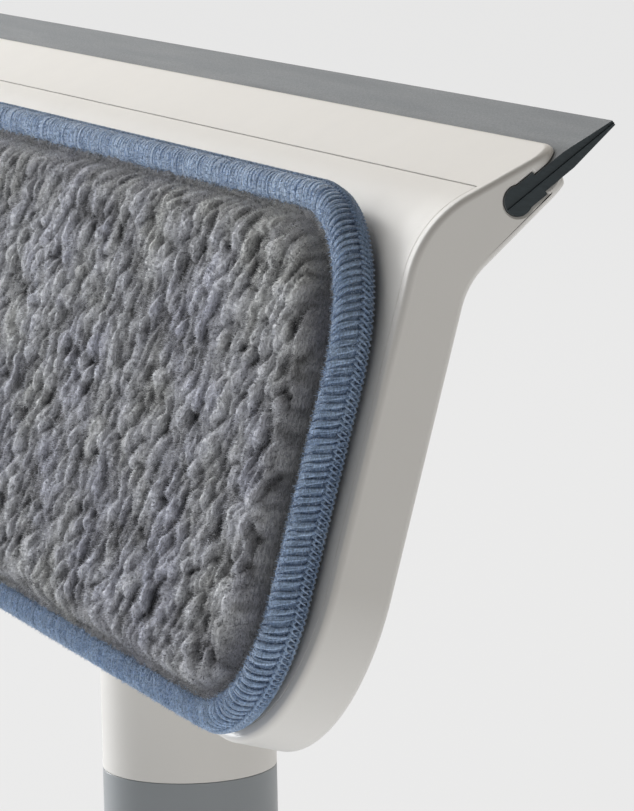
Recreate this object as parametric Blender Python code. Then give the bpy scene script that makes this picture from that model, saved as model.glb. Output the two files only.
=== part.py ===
"""Window cleaning squeegee: a wide blade head with a lift-off microfibre pad on a round two-tone handle.

World frame: +Z runs up the handle's axis, +X along the head, and -Y is the side that the pad faces.
The origin is the middle of the grip. The head is modelled in its own frame, whose origin is the
middle of the face's bottom edge, with +Z up the face and +Y through the head to its rear.
"""
from math import asin, cos, pi, radians, sin

import bmesh
import bpy
from mathutils import Matrix, Vector

MM = 0.001

# Driving dimensions
HEAD_WIDTH = 300 * MM
HEAD_DEPTH = 9 * MM
FACE_TILT = radians(15.8)
HANDLE_RADIUS = 15 * MM
GRIP_LENGTH = 140 * MM
GAP = 0.3 * MM

# The head frame's place, from the handle's axis and the grip's upper end
FACE_FORWARD = 38.8 * MM
FACE_RISE = 34.5 * MM

# Head section: a flat face that bends back into the upper lip, a rear wall that bends into the lower lip
FACE_BEND_START = 70.4 * MM
FACE_BEND_RADIUS = 16.2 * MM
FACE_BEND_ANGLE = radians(49.6)
REAR_BEND_START = 67.6 * MM
REAR_BEND_RADIUS = 11.5 * MM
REAR_BEND_ANGLE = radians(34.8)
HEAD_CORNER = 26.7 * MM
LIP_CORNER = 4.8 * MM
EDGE_ROUND = 1.2 * MM
WALL = 2.2 * MM

# Blade section, measured back from the wiping edge along the blade
BLADE_ANGLE = radians(50.5)
BLADE_EDGE = Vector((24.3 * MM, 97.2 * MM))
EDGE_HALF = 0.38 * MM
WEB_HALF = 1.36 * MM
WEB_START = 8.3 * MM
SHOULDER_START = 13.6 * MM
SHOULDER_HALF = 1.86 * MM
BULB_CENTRE = 17.5 * MM
BULB_RADIUS = 2.12 * MM
UPPER_LIP = (9 * MM, 1 * MM)
LOWER_LIP = (11.2 * MM, 1.25 * MM)

# Front panel, its ribs and the hook tapes
PANEL_INSET = 2.2 * MM
PANEL_THICKNESS = 2.2 * MM
PANEL_TOP = 84.3 * MM
LEDGE = 3.6 * MM
CAVITY_TOP = 65 * MM
CAVITY_CORNER = 6 * MM
RIB_SPACING = 41 * MM
RIB_THICKNESS = 1.4 * MM
RIB_DEPTH = 3 * MM
TAPE_HALF = (132 * MM, 9.5 * MM)
TAPE_CORNER = 2 * MM
TAPE_HEIGHTS = {"hook_tape_lower": 18 * MM, "hook_tape_upper": 56 * MM}
TAPE_PROUD = 0.5 * MM

# Pad
PAD_HALF = 146.4 * MM
PAD_BOTTOM = 0.7 * MM
PAD_TOP = 80.6 * MM
PAD_LOWER_CORNER = 22 * MM
PAD_UPPER_CORNER = 26.7 * MM
PAD_BACK = -0.8 * MM
BACKING_THICKNESS = 1.2 * MM
FOAM_THICKNESS = 3.8 * MM
PILE_THICKNESS = 4 * MM
PILE_INSET = 4.4 * MM
EDGING_WIDTH = 4.2 * MM
EDGING_THICKNESS = 4.8 * MM
CHAIN_WIDTH = 0.7 * MM
CHAIN_HEIGHT = 1.5 * MM

# Neck, a curved socket from the round handle to a broad foot on the head's rear wall
NECK_BOTTOM = 22 * MM
NECK_BEND_START = 26 * MM
FOOT_CENTRE = 35 * MM
FOOT_HALF = (30 * MM, 17 * MM)
FOOT_POWER = 4
SPIGOT_RADIUS = 10 * MM
SPIGOT_LENGTH = 19 * MM

# Handle below the neck
SLEEVE_THICKNESS = 2 * MM
CORE_BORE = 9 * MM
CORE_BORE_TOP = 8 * MM
CAP_LENGTH = 26 * MM
CAP_ROUND = 7 * MM
PLUG_LENGTH = 18 * MM
HANG_HOLE_HALF = (6 * MM, 3.5 * MM)
HANG_HOLE_CORNER = 2.5 * MM
HANG_HOLE_DROP = 12.5 * MM

# Screws
SHANK_RADIUS = 1.5 * MM
SCREW_HEAD = (3.2 * MM, 1.8 * MM)
SCREW_LENGTH = 10 * MM
SOCKET = (1.2 * MM, 1.1 * MM)
NECK_SCREW_SPREAD = (19 * MM, 9 * MM)
HANDLE_SCREW_HEIGHT = 34 * MM
HANDLE_SCREW_FACE = 14.4 * MM

# Fineness of round shapes
CORNER_STEPS = 8
BEND_STEPS = 8
NOSE_STEPS = 3
BULB_STEPS = 12
TURN_STEPS = 40
NECK_STATIONS = 10

# Colour, roughness, metallic
WHITE_PLASTIC = ((0.79, 0.78, 0.75), 0.4, 0.0)
GREY_PLASTIC = ((0.30, 0.33, 0.35), 0.55, 0.0)
RUBBER = ((0.13, 0.15, 0.165), 0.6, 0.0)
BLUE_YARN = ((0.085, 0.14, 0.215), 0.9, 0.0)
GREY_PILE = ((0.17, 0.19, 0.20), 0.95, 0.0)
WHITE_FOAM = ((0.7, 0.7, 0.66), 0.9, 0.0)
HOOK_TAPE = ((0.6, 0.6, 0.6), 0.7, 0.0)
STEEL = ((0.62, 0.62, 0.63), 0.3, 1.0)


def clear_scene():
    for obj in list(bpy.data.objects):
        bpy.data.objects.remove(obj)


def material(name, colour, roughness, metallic):
    made = bpy.data.materials.new(name)
    made.use_nodes = True
    shader = made.node_tree.nodes["Principled BSDF"]
    shader.inputs["Base Color"].default_value = (*colour, 1.0)
    shader.inputs["Roughness"].default_value = roughness
    shader.inputs["Metallic"].default_value = metallic
    return made


def solid(name, bm, parent=None):
    """Turn a bmesh into an object with outward faces."""
    bmesh.ops.remove_doubles(bm, verts=bm.verts, dist=0.002 * MM)
    bmesh.ops.recalc_face_normals(bm, faces=bm.faces)
    mesh = bpy.data.meshes.new(name)
    bm.to_mesh(mesh)
    bm.free()
    obj = bpy.data.objects.new(name, mesh)
    bpy.context.collection.objects.link(obj)
    obj.parent = parent
    return obj


def bake_modifier(obj):
    """Replace an object's mesh by what its modifiers make of it."""
    bpy.context.view_layer.update()
    graph = bpy.context.evaluated_depsgraph_get()
    result = bpy.data.meshes.new_from_object(obj.evaluated_get(graph))
    obj.modifiers.clear()
    obj.data = result


def combine(obj, other, operation):
    """Cut, join or intersect with another solid, which is used up."""
    step = obj.modifiers.new(operation.lower(), "BOOLEAN")
    step.operation = operation
    step.solver = "EXACT"
    step.object = other
    bake_modifier(obj)
    bpy.data.objects.remove(other)


def round_edges(obj, width, segments, angle):
    step = obj.modifiers.new("edge_round", "BEVEL")
    step.width = width
    step.segments = segments
    step.limit_method = "ANGLE"
    step.angle_limit = angle
    bake_modifier(obj)


def complete(obj, finish):
    """Give a finished piece its material and its shading."""
    obj.data.materials.clear()
    obj.data.materials.append(material(obj.name, *finish))
    obj.data.shade_smooth()
    obj.data.set_sharp_from_angle(angle=radians(35))
    return obj


def arc(centre, radius, start, end, steps):
    """Points on an arc with both its ends; angles are in radians."""
    angles = [start + (end - start) * i / steps for i in range(steps + 1)]
    return [Vector((centre[0] + radius * cos(a), centre[1] + radius * sin(a))) for a in angles]


def rounded_rectangle(half_width, bottom, top, lower_radius, upper_radius):
    """Front-view outline, symmetric about X = 0."""
    lower = half_width - lower_radius
    upper = half_width - upper_radius
    low = bottom + lower_radius
    high = top - upper_radius
    outline = arc((lower, low), lower_radius, -pi / 2, 0, CORNER_STEPS)
    outline += arc((upper, high), upper_radius, 0, pi / 2, CORNER_STEPS)
    outline += arc((-upper, high), upper_radius, pi / 2, pi, CORNER_STEPS)
    outline += arc((-lower, low), lower_radius, pi, 3 * pi / 2, CORNER_STEPS)
    return outline


def along_x(point, distance):
    return (distance, point[0], point[1])


def along_y(point, distance):
    return (point[0], distance, point[1])


def across_lips(point, distance):
    return (point[0], *from_blade(-point[1], distance))


def prism(outline, place, low, high):
    """Extrude a closed outline; place(point, distance) gives each corner its position."""
    bm = bmesh.new()
    ends = [[bm.verts.new(place(point, distance)) for point in outline] for distance in (low, high)]
    count = len(outline)
    for i in range(count):
        j = (i + 1) % count
        bm.faces.new((ends[0][i], ends[0][j], ends[1][j], ends[1][i]))
    bm.faces.new(ends[0])
    bm.faces.new(ends[1])
    return bm


def ring(outer, inner, low, high):
    """Closed band between two outlines of equal length, extruded along Y."""
    bm = bmesh.new()
    corners = ((outer, low), (outer, high), (inner, high), (inner, low))
    loops = [[bm.verts.new(along_y(point, y)) for point in line] for line, y in corners]
    count = len(outer)
    for k in range(4):
        after = loops[(k + 1) % 4]
        for i in range(count):
            j = (i + 1) % count
            bm.faces.new((loops[k][i], loops[k][j], after[j], after[i]))
    return bm


def turned(profile, steps=TURN_STEPS):
    """Turn a closed (radius, height) profile about Z; points on the axis become poles."""
    bm = bmesh.new()
    columns = []
    for k in range(steps):
        turn = 2 * pi * k / steps
        columns.append([bm.verts.new((r * cos(turn), r * sin(turn), z)) for r, z in profile])
    count = len(profile)
    for k in range(steps):
        here = columns[k]
        after = columns[(k + 1) % steps]
        for i in range(count):
            j = (i + 1) % count
            if profile[i][0] > 0 or profile[j][0] > 0:
                bm.faces.new((here[i], after[i], after[j], here[j]))
    bmesh.ops.remove_doubles(bm, verts=bm.verts, dist=0.002 * MM)
    return bm


def rod(radius, start, direction, length):
    """Plain round bar from a start point, for cutting holes."""
    bm = bmesh.new()
    bmesh.ops.create_cone(bm, cap_ends=True, segments=20, radius1=radius, radius2=radius, depth=length)
    aim = Vector(direction).normalized()
    turn = Vector((0, 0, 1)).rotation_difference(aim).to_matrix().to_4x4()
    place = Matrix.Translation(Vector(start) + aim * length / 2)
    bm.transform(place @ turn)
    return bm


def screw(name, head_face, direction, parent):
    """Pan-head screw whose shank points along a direction from its head's outer face."""
    head_radius, head_height = SCREW_HEAD
    socket_radius, socket_depth = SOCKET
    profile = [(0, socket_depth), (socket_radius, socket_depth), (socket_radius, 0), (head_radius, 0)]
    profile += [(head_radius, head_height), (SHANK_RADIUS, head_height), (SHANK_RADIUS, SCREW_LENGTH)]
    profile += [(0, SCREW_LENGTH)]
    bm = turned(profile, 20)
    turn = Vector((0, 0, 1)).rotation_difference(Vector(direction)).to_matrix().to_4x4()
    bm.transform(Matrix.Translation(head_face) @ turn)
    return complete(solid(name, bm, parent), STEEL)


def from_blade(along, across):
    """Head-frame (y, z) of a point measured back from the wiping edge and across the blade."""
    direction = Vector((cos(BLADE_ANGLE), sin(BLADE_ANGLE)))
    normal = Vector((-sin(BLADE_ANGLE), cos(BLADE_ANGLE)))
    return BLADE_EDGE - direction * along + normal * across


def blade_section(front, grow):
    """Closed outline from the front corners back over the shoulder and round the bulb."""
    shoulder = SHOULDER_START - grow
    bulb = BULB_RADIUS + grow
    side = front + [(shoulder, WEB_HALF + grow), (shoulder, SHOULDER_HALF + grow)]
    meeting = pi - asin((SHOULDER_HALF + grow) / bulb)
    section = side + [tuple(p) for p in arc((BULB_CENTRE, 0), bulb, meeting, -meeting, BULB_STEPS)]
    section += [(along, -across) for along, across in reversed(side)]
    return [from_blade(along, across) for along, across in section]


def lip_nose(lip, side):
    """Rounded end of one channel lip, from the blade's side outwards."""
    end, radius = lip
    flank = WEB_HALF + GAP / 2
    quarter = arc((end, flank), radius, pi, pi / 2, NOSE_STEPS)
    return [from_blade(along, side * across) for along, across in quarter]


def face_curve(depth, top):
    """Section of the face at a depth below its surface, round the bend and up the lip to a height."""
    centre = Vector((FACE_BEND_RADIUS, FACE_BEND_START))
    bend = arc(centre, FACE_BEND_RADIUS - depth, pi, pi - FACE_BEND_ANGLE, BEND_STEPS)
    slope = Vector((sin(FACE_BEND_ANGLE), cos(FACE_BEND_ANGLE)))
    inward = Vector((cos(FACE_BEND_ANGLE), -sin(FACE_BEND_ANGLE)))
    surface_end = centre - inward * FACE_BEND_RADIUS
    climb = (top - surface_end.y) / slope.y
    return bend + [surface_end + slope * climb + inward * depth]


def panel_section(front_depth, back_depth, bottom, top):
    """Outline between two depths below the face."""
    front = [Vector((front_depth, bottom))] + face_curve(front_depth, top)
    back = [Vector((back_depth, bottom))] + face_curve(back_depth, top)
    return front + list(reversed(back))


def panel_outline(inset, upper_radius):
    """Front view of a shape set in from the head's outline by the same amount all round."""
    half = HEAD_WIDTH / 2
    return rounded_rectangle(half - inset, inset, half, HEAD_CORNER - inset, upper_radius)


def make_housing(head):
    """White frame: end walls, rear wall, rim round the panel, and the two lips of the blade's channel."""
    rear_centre = (HEAD_DEPTH + REAR_BEND_RADIUS, REAR_BEND_START)
    section = [Vector((0, 0)), Vector((HEAD_DEPTH, 0))]
    section += arc(rear_centre, REAR_BEND_RADIUS, pi, pi - REAR_BEND_ANGLE, BEND_STEPS)
    section += list(reversed(lip_nose(LOWER_LIP, -1))) + lip_nose(UPPER_LIP, 1)
    bend = arc((FACE_BEND_RADIUS, FACE_BEND_START), FACE_BEND_RADIUS, pi, pi - FACE_BEND_ANGLE, BEND_STEPS)
    section += list(reversed(bend))
    half = HEAD_WIDTH / 2
    housing = solid("head_housing", prism(section, along_x, -half, half), head)
    front_view = rounded_rectangle(half, 0, half, HEAD_CORNER, LIP_CORNER)
    combine(housing, solid("front_view", prism(front_view, along_y, -half, half), head), "INTERSECT")
    lip_view = rounded_rectangle(half, -half, -(UPPER_LIP[0] - UPPER_LIP[1]), LIP_CORNER, LIP_CORNER)
    combine(housing, solid("lip_view", prism(lip_view, across_lips, -half, half), head), "INTERSECT")
    round_edges(housing, EDGE_ROUND, 2, radians(50))
    channel = blade_section([(WEB_START / 2, WEB_HALF + GAP)], GAP)
    combine(housing, solid("channel", prism(channel, along_x, -half * 1.1, half * 1.1), head), "DIFFERENCE")
    rebate = panel_section(-WALL, PANEL_THICKNESS + GAP, -WALL, PANEL_TOP + GAP / 2)
    seat = solid("seat", prism(rebate, along_x, -half, half), head)
    seat_view = panel_outline(PANEL_INSET - GAP / 2, GAP)
    combine(seat, solid("seat_view", prism(seat_view, along_y, -half, half), head), "INTERSECT")
    combine(housing, seat, "DIFFERENCE")
    inset = PANEL_INSET + LEDGE
    cavity = rounded_rectangle(half - inset, inset, CAVITY_TOP, HEAD_CORNER - inset, CAVITY_CORNER)
    hollow = prism(cavity, along_y, PANEL_THICKNESS, HEAD_DEPTH - WALL)
    combine(housing, solid("hollow", hollow, head), "DIFFERENCE")
    for x, z in neck_screw_places():
        hole = rod(SHANK_RADIUS + GAP, (x, HEAD_DEPTH - 2 * WALL, z), (0, 1, 0), 3 * WALL)
        combine(housing, solid("hole", hole, head), "DIFFERENCE")
    return complete(housing, WHITE_PLASTIC)


def make_front_panel(head):
    """White cover let into the front of the housing, flush with its rim, ribbed behind."""
    half = HEAD_WIDTH / 2
    section = panel_section(0, PANEL_THICKNESS, 0, PANEL_TOP - GAP / 2)
    panel = solid("front_panel", prism(section, along_x, -half, half), head)
    view = panel_outline(PANEL_INSET + GAP / 2, GAP)
    combine(panel, solid("panel_view", prism(view, along_y, -half, half), head), "INTERSECT")
    for height in TAPE_HEIGHTS.values():
        recess = tape_outline(height, GAP)
        cut = prism(recess, along_y, -WALL, TAPE_PROUD + GAP)
        combine(panel, solid("recess", cut, head), "DIFFERENCE")
    for k in range(-3, 4):
        x = k * RIB_SPACING
        bottom = PANEL_INSET + 2 * LEDGE
        rib = [(x - RIB_THICKNESS / 2, bottom), (x + RIB_THICKNESS / 2, bottom)]
        rib += [(x + RIB_THICKNESS / 2, CAVITY_TOP - LEDGE), (x - RIB_THICKNESS / 2, CAVITY_TOP - LEDGE)]
        bar = prism(rib, along_y, PANEL_THICKNESS / 2, PANEL_THICKNESS + RIB_DEPTH)
        combine(panel, solid("rib", bar, head), "UNION")
    return complete(panel, WHITE_PLASTIC)


def tape_outline(height, grow):
    half_width, half_height = TAPE_HALF
    corner = TAPE_CORNER + grow
    return rounded_rectangle(half_width + grow, height - half_height - grow, height + half_height + grow,
                             corner, corner)


def make_tapes(head):
    for name, height in TAPE_HEIGHTS.items():
        tape = prism(tape_outline(height, 0), along_y, -TAPE_PROUD, TAPE_PROUD)
        complete(solid(name, tape, head), HOOK_TAPE)


def make_blade(head):
    """Soft wiping strip: thin at its edge, with a shoulder and a round bulb that hold it in the channel."""
    section = blade_section([(0, EDGE_HALF), (WEB_START, WEB_HALF)], 0)
    half = HEAD_WIDTH / 2
    complete(solid("rubber_blade", prism(section, along_x, -half, half), head), RUBBER)


def pad_outline(inset):
    return rounded_rectangle(PAD_HALF - inset, PAD_BOTTOM + inset, PAD_TOP - inset,
                             PAD_LOWER_CORNER - inset, PAD_UPPER_CORNER - inset)


def make_pad(head):
    """Loop backing, foam and pile in layers, inside a wrapped yarn edging with its chain of thread."""
    edging_inset = CHAIN_WIDTH + GAP
    core_inset = edging_inset + EDGING_WIDTH + GAP
    layers = (("pad_backing", BACKING_THICKNESS, core_inset, WHITE_FOAM),
              ("pad_foam", FOAM_THICKNESS, core_inset, WHITE_FOAM),
              ("pad_pile", PILE_THICKNESS, PILE_INSET, GREY_PILE))
    back = PAD_BACK
    for name, thickness, inset, finish in layers:
        layer = prism(pad_outline(inset), along_y, back - thickness, back)
        complete(solid(name, layer, head), finish)
        back -= thickness + GAP
    inner = pad_outline(edging_inset + EDGING_WIDTH)
    edging = ring(pad_outline(edging_inset), inner, PAD_BACK - EDGING_THICKNESS, PAD_BACK)
    complete(solid("pad_edging", edging, head), BLUE_YARN)
    low = PAD_BACK - (EDGING_THICKNESS + CHAIN_HEIGHT) / 2
    chain = ring(pad_outline(0), pad_outline(CHAIN_WIDTH), low, low + CHAIN_HEIGHT)
    complete(solid("pad_edge_chain", chain, head), BLUE_YARN)


def neck_screw_places():
    spread_x, spread_z = NECK_SCREW_SPREAD
    return [(sx * spread_x, FOOT_CENTRE + sz * spread_z) for sz in (-1, 1) for sx in (-1, 1)]


def neck_screw_face():
    """Depth of the neck screws' heads behind the face: they sit on the rear wall, inside the cavity."""
    return HEAD_DEPTH - WALL - GAP - SCREW_HEAD[1]


def neck_ring(bm, centre, turn, half_width, half_height, power):
    """One superellipse cross-section, facing up at turn 0 and forwards at a quarter turn."""
    verts = []
    for k in range(TURN_STEPS):
        angle = 2 * pi * k / TURN_STEPS
        x = half_width * abs(cos(angle)) ** (2 / power) * (1 if cos(angle) >= 0 else -1)
        w = half_height * abs(sin(angle)) ** (2 / power) * (1 if sin(angle) >= 0 else -1)
        verts.append(bm.verts.new((x, centre.x + w * cos(turn), centre.y + w * sin(turn))))
    return verts


def make_neck(head_place):
    """Curved socket: round where it meets the handle, broad where it is screwed to the housing."""
    base = GRIP_LENGTH / 2
    foot = head_place @ Vector((0, HEAD_DEPTH + GAP, FOOT_CENTRE))
    forward = head_place.to_3x3() @ Vector((0, -1, 0))
    end = Vector((foot.y, foot.z))
    start = Vector((0, base + NECK_BEND_START))
    control = Vector((0, end.y - end.x * forward.z / forward.y))
    bm = bmesh.new()
    bottom = Vector((0, base + NECK_BOTTOM + GAP / 2))
    rings = [neck_ring(bm, bottom, 0, HANDLE_RADIUS, HANDLE_RADIUS, 2)]
    for k in range(NECK_STATIONS + 1):
        t = k / NECK_STATIONS
        centre = start * (1 - t) ** 2 + control * 2 * t * (1 - t) + end * t ** 2
        blend = t ** 2 * (3 - 2 * t)
        half_width = HANDLE_RADIUS + (FOOT_HALF[0] - HANDLE_RADIUS) * blend
        half_height = HANDLE_RADIUS + (FOOT_HALF[1] - HANDLE_RADIUS) * blend
        power = 2 + (FOOT_POWER - 2) * blend
        rings.append(neck_ring(bm, centre, (pi / 2 - FACE_TILT) * t, half_width, half_height, power))
    for lower, upper in zip(rings, rings[1:]):
        for i in range(TURN_STEPS):
            j = (i + 1) % TURN_STEPS
            bm.faces.new((lower[i], lower[j], upper[j], upper[i]))
    bm.faces.new(rings[0])
    bm.faces.new(rings[-1])
    neck = solid("neck", bm)
    bore = rod(SPIGOT_RADIUS + GAP, (0, 0, base), (0, 0, 1), NECK_BOTTOM + SPIGOT_LENGTH + 1 * MM)
    combine(neck, solid("bore", bore), "DIFFERENCE")
    depth = neck_screw_face() + SCREW_LENGTH + GAP - HEAD_DEPTH
    for x, z in neck_screw_places():
        hole = rod(SHANK_RADIUS + GAP, head_place @ Vector((x, HEAD_DEPTH, z)), -forward, depth)
        combine(neck, solid("hole", hole), "DIFFERENCE")
    height = base + HANDLE_SCREW_HEIGHT
    head_radius, head_height = SCREW_HEAD
    seat = HANDLE_SCREW_FACE - head_height - GAP
    recess = rod(head_radius + GAP, (0, seat, height), (0, 1, 0), HANDLE_RADIUS)
    combine(neck, solid("recess", recess), "DIFFERENCE")
    hole = rod(SHANK_RADIUS + GAP, (0, 0, height), (0, 1, 0), HANDLE_RADIUS)
    combine(neck, solid("hole", hole), "DIFFERENCE")
    return complete(neck, WHITE_PLASTIC)


def make_handle_core():
    """White core: collar flush with the grip, spigot up into the neck, tube down inside the sleeve."""
    base = GRIP_LENGTH / 2
    top = base + NECK_BOTTOM + SPIGOT_LENGTH
    tube = HANDLE_RADIUS - SLEEVE_THICKNESS - GAP
    chamfer = 1 * MM
    collar = base + NECK_BOTTOM - GAP / 2
    profile = [(0, top), (SPIGOT_RADIUS - chamfer, top), (SPIGOT_RADIUS, top - chamfer)]
    profile += [(SPIGOT_RADIUS, collar), (HANDLE_RADIUS, collar)]
    profile += [(HANDLE_RADIUS, base + GAP / 2), (tube, base + GAP / 2), (tube, -base + GAP / 2)]
    profile += [(CORE_BORE, -base + GAP / 2), (CORE_BORE, base + CORE_BORE_TOP), (0, base + CORE_BORE_TOP)]
    core = solid("handle_core", turned(profile))
    hole = rod(SHANK_RADIUS + GAP, (0, 0, base + HANDLE_SCREW_HEIGHT), (0, 1, 0), HANDLE_RADIUS)
    combine(core, solid("hole", hole), "DIFFERENCE")
    return complete(core, WHITE_PLASTIC)


def make_grip_sleeve():
    """Grey grip, flush with the white collar above it."""
    inner = HANDLE_RADIUS - SLEEVE_THICKNESS
    end = GRIP_LENGTH / 2 - GAP / 2
    profile = [(inner, end), (HANDLE_RADIUS, end), (HANDLE_RADIUS, -end), (inner, -end)]
    return complete(solid("grip_sleeve", turned(profile)), GREY_PLASTIC)


def make_end_cap():
    """Cap plugged into the core, with a slot to hang the tool by."""
    top = -GRIP_LENGTH / 2 - GAP / 2
    bottom = top - CAP_LENGTH
    plug = CORE_BORE - GAP
    profile = [(0, top + PLUG_LENGTH), (plug, top + PLUG_LENGTH), (plug, top), (HANDLE_RADIUS, top)]
    corner = (HANDLE_RADIUS - CAP_ROUND, bottom + CAP_ROUND)
    profile += [tuple(p) for p in arc(corner, CAP_ROUND, 0, -pi / 2, CORNER_STEPS)]
    profile += [(0, bottom)]
    cap = solid("end_cap", turned(profile))
    half_width, half_height = HANG_HOLE_HALF
    middle = top - HANG_HOLE_DROP
    slot = rounded_rectangle(half_width, middle - half_height, middle + half_height,
                             HANG_HOLE_CORNER, HANG_HOLE_CORNER)
    cutter = prism(slot, along_y, -2 * HANDLE_RADIUS, 2 * HANDLE_RADIUS)
    combine(cap, solid("slot", cutter), "DIFFERENCE")
    return complete(cap, GREY_PLASTIC)


def main():
    clear_scene()
    head = bpy.data.objects.new("head_frame", None)
    bpy.context.collection.objects.link(head)
    head.location = (0, -FACE_FORWARD, GRIP_LENGTH / 2 + FACE_RISE)
    head.rotation_euler = (-FACE_TILT, 0, 0)
    bpy.context.view_layer.update()
    make_housing(head)
    make_front_panel(head)
    make_tapes(head)
    make_blade(head)
    make_pad(head)
    make_neck(head.matrix_world)
    for number, (x, z) in enumerate(neck_screw_places(), 1):
        screw(f"neck_screw_{number}", Vector((x, neck_screw_face(), z)), (0, 1, 0), head)
    make_handle_core()
    make_grip_sleeve()
    make_end_cap()
    screw_place = Vector((0, HANDLE_SCREW_FACE, GRIP_LENGTH / 2 + HANDLE_SCREW_HEIGHT))
    screw("handle_screw", screw_place, (0, -1, 0), None)


main()
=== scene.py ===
"""Looks of the window cleaning squeegee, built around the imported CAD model.

World frame: +Z runs up the handle's axis, +X along the head, and -Y is the side that the pad faces.
Head pieces are modelled in the head's own frame: its origin is the middle of the face's bottom edge,
with +Z up the face and +Y through the head to its rear.
"""

from math import asin, cos, pi, radians, sin

import bmesh
import bpy
import numpy as np
from mathutils import Matrix, Vector


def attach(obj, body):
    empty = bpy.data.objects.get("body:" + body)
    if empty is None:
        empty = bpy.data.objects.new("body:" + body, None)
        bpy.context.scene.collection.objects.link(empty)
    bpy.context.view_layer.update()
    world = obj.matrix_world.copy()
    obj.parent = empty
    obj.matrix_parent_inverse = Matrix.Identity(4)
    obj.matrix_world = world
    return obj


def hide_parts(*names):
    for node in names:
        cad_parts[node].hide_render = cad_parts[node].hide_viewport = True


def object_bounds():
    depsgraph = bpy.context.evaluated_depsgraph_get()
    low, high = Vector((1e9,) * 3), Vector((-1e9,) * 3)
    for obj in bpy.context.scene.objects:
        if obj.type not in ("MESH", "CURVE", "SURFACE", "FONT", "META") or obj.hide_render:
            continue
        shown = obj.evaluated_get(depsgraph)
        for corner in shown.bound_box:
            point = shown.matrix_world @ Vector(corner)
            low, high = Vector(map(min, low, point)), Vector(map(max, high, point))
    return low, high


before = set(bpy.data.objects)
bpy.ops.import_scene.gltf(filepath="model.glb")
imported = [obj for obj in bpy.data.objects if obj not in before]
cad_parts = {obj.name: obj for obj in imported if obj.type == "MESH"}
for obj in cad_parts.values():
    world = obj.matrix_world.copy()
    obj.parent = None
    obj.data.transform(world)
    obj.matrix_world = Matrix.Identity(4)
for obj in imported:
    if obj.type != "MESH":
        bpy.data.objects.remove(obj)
cad_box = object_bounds()

MM = 0.001

# Driving dimensions, as in the CAD
HEAD_WIDTH = 300 * MM
HEAD_DEPTH = 9 * MM
FACE_TILT = radians(15.8)
HANDLE_RADIUS = 15 * MM
GRIP_LENGTH = 140 * MM
GAP = 0.3 * MM
FACE_FORWARD = 38.8 * MM
FACE_RISE = 34.5 * MM
HALF_HEAD = HEAD_WIDTH / 2
GRIP_END = GRIP_LENGTH / 2
HEAD = Matrix.Translation((0, -FACE_FORWARD, GRIP_END + FACE_RISE))
HEAD = HEAD @ Matrix.Rotation(-FACE_TILT, 4, "X")

# Head section
FACE_BEND_START = 70.4 * MM
FACE_BEND_RADIUS = 16.2 * MM
FACE_BEND_ANGLE = radians(49.6)
REAR_BEND_START = 67.6 * MM
REAR_BEND_RADIUS = 11.5 * MM
REAR_BEND_ANGLE = radians(34.8)
HEAD_CORNER = 26.7 * MM
LIP_CORNER = 4.8 * MM
EDGE_ROUND = 0.95 * MM
WALL = 2.2 * MM
SEAM = 0.14 * MM
SEAM_ROUND = 0.1 * MM

# Blade section, measured back from the wiping edge along the blade
BLADE_ANGLE = radians(50.5)
BLADE_EDGE = Vector((24.3 * MM, 97.2 * MM))
EDGE_HALF = 0.38 * MM
WEB_HALF = 1.36 * MM
WEB_START = 8.3 * MM
SHOULDER_START = 13.6 * MM
SHOULDER_HALF = 1.86 * MM
BULB_CENTRE = 17.5 * MM
BULB_RADIUS = 2.12 * MM
UPPER_LIP = (9 * MM, 1 * MM)
LOWER_LIP = (11.2 * MM, 1.25 * MM)
CHANNEL_FLARE = 0.3 * MM
CHANNEL_SLACK = 0.12 * MM
CUT_RIDGE = (0.1 * MM, 0.22 * MM)

# Front panel and the hook tapes
PANEL_INSET = 2.2 * MM
PANEL_THICKNESS = 2.2 * MM
PANEL_TOP = 84.3 * MM
LEDGE = 3.6 * MM
CAVITY_TOP = 65 * MM
CAVITY_CORNER = 6 * MM
TAPE_HALF = (132 * MM, 9.5 * MM)
TAPE_CORNER = 2 * MM
TAPE_HEIGHTS = {"hook_tape_lower": 18 * MM, "hook_tape_upper": 56 * MM}
TAPE_PROUD = 0.5 * MM

# Pad
PAD_HALF = 146.4 * MM
PAD_BOTTOM = 0.7 * MM
PAD_TOP = 80.6 * MM
PAD_LOWER_CORNER = 22 * MM
PAD_UPPER_CORNER = 26.7 * MM
PAD_BACK = -0.8 * MM
PILE_INSET = 4 * MM
PILE_TOP = -10 * MM
PILE_RIM = -5.3 * MM
PILE_DEPTH = 2.1 * MM
PILE_LEAN = 0.55 * MM
ROW_TURNS = (0, 1.2, 2.6, 4.4, 6.4, 8.6)
PILE_COMB = radians(56)
TUFT = 2.3 * MM
SMALL_TUFT = 1.2 * MM
PILE_BOTTOM = -2.4 * MM
PILE_SPACING = 0.48 * MM
RIM_WIDTH = 2 * MM
SHOULDER_WIDTH = 4.6 * MM
FIBRE_PIECES = 4
FIBRES_IN_PIECE = 49000
FIBRE_LENGTH = 0.6 * MM
FIBRE_RADIUS = 0.075 * MM
FIBRE_ROOT = 0.2 * MM
# painted shade on pile fibres whose flanks face +X, away from the lamps
PAINTED_FLANK_SHADE = 0.5

# Edging: a roll wrapped with threads that gather in groups along its outer side
EDGING_WIDTH = 4.4 * MM
EDGING_THICKNESS = 5 * MM
EDGING_INSET = 3 * MM
THREAD_PITCH = 0.4 * MM
THREADS_IN_GROUP = 3
THREAD_RADIUS = 0.25 * MM
THREAD_SLANT = 2.5 * MM
CHAIN_RADIUS = 0.3 * MM
CHAIN_SHADE = 0.45
# painted shade: how dark the hem shows in the gaps between the threads
HEM_PAINTED_SHADE = 0.1
ROLL_POWER = 2.5
FUZZ_FIBRES = 49000
FUZZ_LENGTH = 0.6 * MM
FUZZ_RADIUS = 0.07 * MM

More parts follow.
